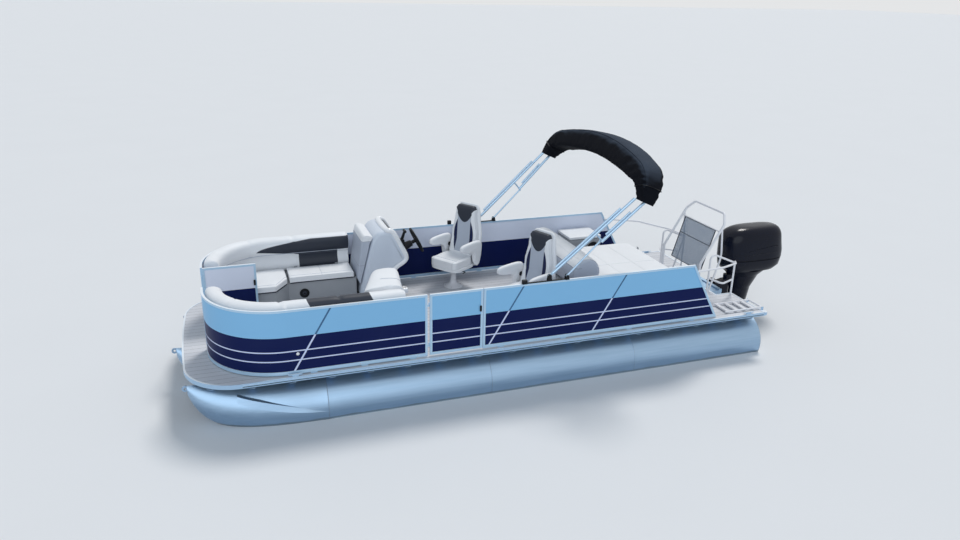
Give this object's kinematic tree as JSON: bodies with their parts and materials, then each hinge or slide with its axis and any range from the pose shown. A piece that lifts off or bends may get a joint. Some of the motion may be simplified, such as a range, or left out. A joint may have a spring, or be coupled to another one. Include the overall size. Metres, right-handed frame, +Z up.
{
  "type": "pontoon boat",
  "caption": "Three-tube pontoon boat with a railed deck, bow lounges, helm console, swivel chairs, sun pad, folding top, tow arch and a tilting, steering outboard motor.",
  "frame": {"origin": "on the waterline, amidships, half way along the deck on the centreline", "axes": "+X towards the bow, +Y to port, +Z up"},
  "size_m": [8.4954, 2.85, 3.4619],
  "materials": {
    "tube_aluminium": "satin",
    "frame_aluminium": "gloss",
    "fence_skin": "gloss",
    "deck_board": "matte",
    "edge_trim": "satin",
    "vinyl_white": "satin",
    "vinyl_charcoal": "satin",
    "base_grey": "matte",
    "console_white": "gloss",
    "black_plastic": "matte",
    "top_canvas": "matte",
    "top_tube": "satin",
    "stainless": "brushed",
    "motor_black": "gloss",
    "rail_white": "gloss",
    "mesh_grey": "matte",
    "engine_iron": "matte"
  },
  "bodies": {
    "hull": {"port_pontoon": "tube_aluminium", "centre_pontoon": "tube_aluminium", "starboard_pontoon": "tube_aluminium", "riser_brackets": "tube_aluminium", "cross_beams": "tube_aluminium", "deck": "deck_board", "deck_edge": "edge_trim", "motor_pod": "tube_aluminium", "port_bow_rail": "frame_aluminium", "port_stern_rail": "frame_aluminium", "starboard_rail": "frame_aluminium", "port_bow_panel": "fence_skin", "port_stern_panel": "fence_skin", "starboard_panel": "fence_skin", "lounge_bases": "base_grey", "bow_cushions": "vinyl_white", "port_lounge_back": "vinyl_white", "starboard_lounge_back": "vinyl_white", "port_lounge_corner": "vinyl_white", "helm_console": "console_white", "console_backrest": "vinyl_white", "throttle": "black_plastic", "chair_pedestals": "stainless", "aft_lounge_base": "base_grey", "aft_bolster": "vinyl_white", "aft_locker": "base_grey", "aft_locker_pad": "vinyl_white", "top_mounts": "black_plastic", "stern_rails": "rail_white", "tow_arch": "rail_white", "stern_mesh": "mesh_grey", "ladder_brackets": "edge_trim", "clamp_bracket": "motor_black", "cleats": "edge_trim"},
    "bow_gate": {"bow_gate_frame": "frame_aluminium", "bow_gate_panel": "fence_skin"},
    "side_gate": {"side_gate_frame": "frame_aluminium", "side_gate_panel": "fence_skin"},
    "captain_chair": {"captain_shell": "vinyl_white", "captain_cushions": "vinyl_charcoal"},
    "mate_chair": {"mate_shell": "vinyl_white", "mate_cushions": "vinyl_charcoal"},
    "port_lid": {"port_seat_lid": "vinyl_white"},
    "starboard_lid": {"starboard_seat_lid": "vinyl_white"},
    "sun_pad_lid": {"sun_pad": "vinyl_white"},
    "helm_wheel": {"steering_wheel": "black_plastic"},
    "folding_top": {"top_legs": "top_tube", "top_boot": "top_canvas"},
    "brace_pair": {"top_braces": "top_tube"},
    "ladder": {"boarding_ladder": "rail_white"},
    "motor_tilt": {"swivel_bracket": "motor_black"},
    "motor": {"motor_leg": "motor_black", "motor_cowl": "motor_black", "powerhead": "engine_iron"},
    "screw": {"propeller": "stainless"}
  },
  "joints": [
    {"name": "bow_gate_hinge", "type": "hinge", "parent": "hull", "child": "bow_gate", "pos_m": [3.3125, -0.304, 0.95], "axis": [0, 0, 1], "range_deg": [-90, 0]},
    {"name": "side_gate_hinge", "type": "hinge", "parent": "hull", "child": "side_gate", "pos_m": [0.964, 1.2325, 0.95], "axis": [0, 0, 1], "range_deg": [0, 90]},
    {"name": "captain_chair_swivel", "type": "hinge", "parent": "hull", "child": "captain_chair", "pos_m": [0.044, -0.78, 0.84], "axis": [0, 0, 1], "continuous": true},
    {"name": "mate_chair_swivel", "type": "hinge", "parent": "hull", "child": "mate_chair", "pos_m": [-0.42, 0.62, 0.84], "axis": [0, 0, 1], "continuous": true},
    {"name": "port_seat_lid_hinge", "type": "hinge", "parent": "hull", "child": "port_lid", "pos_m": [1.87, 1.005, 1], "axis": [-1, 0, 0], "range_deg": [0, 75]},
    {"name": "starboard_seat_lid_hinge", "type": "hinge", "parent": "hull", "child": "starboard_lid", "pos_m": [1.87, -1.005, 1], "axis": [1, 0, 0], "range_deg": [0, 75]},
    {"name": "sun_pad_hinge", "type": "hinge", "parent": "hull", "child": "sun_pad_lid", "pos_m": [-2.47, 0.3825, 1.12], "axis": [0, 1, 0], "range_deg": [-60, 0]},
    {"name": "steering_wheel_turn", "type": "hinge", "parent": "hull", "child": "helm_wheel", "pos_m": [0.56, -0.82, 1.285], "axis": [0.8988, 0, -0.4384], "range_deg": [-540, 540]},
    {"name": "top_fold", "type": "hinge", "parent": "hull", "child": "folding_top", "pos_m": [-0.48, 0, 1.4], "axis": [0, -1, 0], "range_deg": [0, 27.5]},
    {"name": "brace_fold", "type": "hinge", "parent": "folding_top", "child": "brace_pair", "pos_m": [-1.0998, 0, 1.7694], "axis": [0, -1, 0], "range_deg": [0, 10]},
    {"name": "ladder_hinge", "type": "hinge", "parent": "hull", "child": "ladder", "pos_m": [-3.624, 1.0475, 0.606], "axis": [0, -1, 0], "range_deg": [0, 250]},
    {"name": "outboard_tilt", "type": "hinge", "parent": "hull", "child": "motor_tilt", "pos_m": [-3.78, 0, 0.5], "axis": [0, 1, 0], "range_deg": [0, 42]},
    {"name": "outboard_steer", "type": "hinge", "parent": "motor_tilt", "child": "motor", "pos_m": [-3.935, 0, 0.33], "axis": [0, 0, 1], "range_deg": [-30, 30]},
    {"name": "propeller_spin", "type": "hinge", "parent": "motor", "child": "screw", "pos_m": [-4.48, 0, -0.36], "axis": [1, 0, 0], "continuous": true}
  ],
  "couplings": [
    {"joint": "steering_wheel_turn", "follows": "outboard_steer", "ratio": 18},
    {"joint": "brace_fold", "follows": "top_fold", "ratio": 0.36364}
  ]
}
